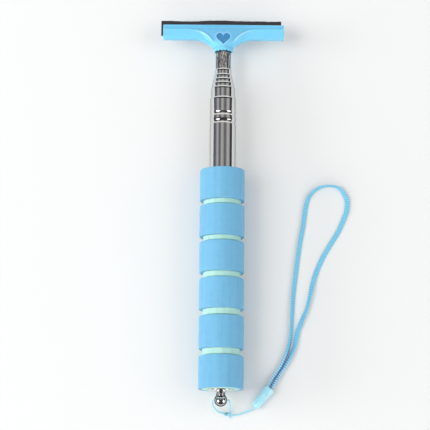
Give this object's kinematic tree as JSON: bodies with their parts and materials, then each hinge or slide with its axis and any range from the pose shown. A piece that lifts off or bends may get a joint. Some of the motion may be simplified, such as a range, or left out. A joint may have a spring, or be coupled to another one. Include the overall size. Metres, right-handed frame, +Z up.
{
  "type": "telescopic squeegee",
  "caption": "Small telescopic squeegee: T-shaped head with a rubber blade, nested chrome tubes that slide and turn, grooved two-layer foam grip and a wrist lanyard.",
  "frame": {"origin": "on the surface the squeegee lies on, under the middle of its closed length and width, lanyard left out", "axes": "+Y along the rod's axis towards the head and blade, +Z up out of the surface it lies on, +X to the right, where the lanyard lies"},
  "size_m": [0.1172, 0.2458, 0.0274],
  "materials": {
    "head_plastic": "sky-blue moulded plastic, smooth, half gloss",
    "blade_rubber": "black rubber, satin",
    "rod_chrome": "polished plated steel",
    "sleeve_bronze": "thin spring bronze strip, plain",
    "foam_blue": "sky-blue closed-cell EVA foam, matt with fine pores",
    "foam_green": "mint-green closed-cell EVA foam, matt with fine pores",
    "string_nylon": "thin pale-blue nylon string",
    "barrel_plastic": "light-blue translucent plastic",
    "strap_weave": "light-blue flat woven cord with cross ribs"
  },
  "bodies": {
    "handle": {"tube_7": "rod_chrome", "end_cap": "rod_chrome", "ball_finial": "rod_chrome", "grip_core": "foam_green", "grip_ring_1": "foam_blue", "grip_ring_2": "foam_blue", "grip_ring_3": "foam_blue", "grip_ring_4": "foam_blue", "grip_ring_5": "foam_blue", "grip_ring_6": "foam_blue", "lanyard_string": "string_nylon", "string_knot": "string_nylon", "cord_barrel": "barrel_plastic", "wrist_strap": "strap_weave"},
    "stage_6_sleeve": {"sleeve_6": "sleeve_bronze"},
    "stage_6": {"tube_6": "rod_chrome"},
    "stage_5_sleeve": {"sleeve_5": "sleeve_bronze"},
    "stage_5": {"tube_5": "rod_chrome"},
    "stage_4_sleeve": {"sleeve_4": "sleeve_bronze"},
    "stage_4": {"tube_4": "rod_chrome"},
    "stage_3_sleeve": {"sleeve_3": "sleeve_bronze"},
    "stage_3": {"tube_3": "rod_chrome"},
    "stage_2_sleeve": {"sleeve_2": "sleeve_bronze"},
    "stage_2": {"tube_2": "rod_chrome"},
    "stage_1_sleeve": {"sleeve_1": "sleeve_bronze"},
    "head_stage": {"tube_1": "rod_chrome", "head": "head_plastic", "blade": "blade_rubber"}
  },
  "joints": [
    {"name": "stage_6_slide", "type": "slide", "parent": "handle", "child": "stage_6_sleeve", "axis": [0, 1, 0], "range_m": [0, 0.136]},
    {"name": "stage_6_turn", "type": "hinge", "parent": "stage_6_sleeve", "child": "stage_6", "pos_m": [0, 0, 0.0137], "axis": [0, 1, 0], "continuous": true},
    {"name": "stage_5_slide", "type": "slide", "parent": "stage_6", "child": "stage_5_sleeve", "axis": [0, 1, 0], "range_m": [0, 0.15]},
    {"name": "stage_5_turn", "type": "hinge", "parent": "stage_5_sleeve", "child": "stage_5", "pos_m": [0, 0, 0.0137], "axis": [0, 1, 0], "continuous": true},
    {"name": "stage_4_slide", "type": "slide", "parent": "stage_5", "child": "stage_4_sleeve", "axis": [0, 1, 0], "range_m": [0, 0.153]},
    {"name": "stage_4_turn", "type": "hinge", "parent": "stage_4_sleeve", "child": "stage_4", "pos_m": [0, 0, 0.0137], "axis": [0, 1, 0], "continuous": true},
    {"name": "stage_3_slide", "type": "slide", "parent": "stage_4", "child": "stage_3_sleeve", "axis": [0, 1, 0], "range_m": [0, 0.155]},
    {"name": "stage_3_turn", "type": "hinge", "parent": "stage_3_sleeve", "child": "stage_3", "pos_m": [0, 0, 0.0137], "axis": [0, 1, 0], "continuous": true},
    {"name": "stage_2_slide", "type": "slide", "parent": "stage_3", "child": "stage_2_sleeve", "axis": [0, 1, 0], "range_m": [0, 0.157]},
    {"name": "stage_2_turn", "type": "hinge", "parent": "stage_2_sleeve", "child": "stage_2", "pos_m": [0, 0, 0.0137], "axis": [0, 1, 0], "continuous": true},
    {"name": "stage_1_slide", "type": "slide", "parent": "stage_2", "child": "stage_1_sleeve", "axis": [0, 1, 0], "range_m": [0, 0.16]},
    {"name": "stage_1_turn", "type": "hinge", "parent": "stage_1_sleeve", "child": "head_stage", "pos_m": [0, 0, 0.0137], "axis": [0, 1, 0], "continuous": true}
  ]
}
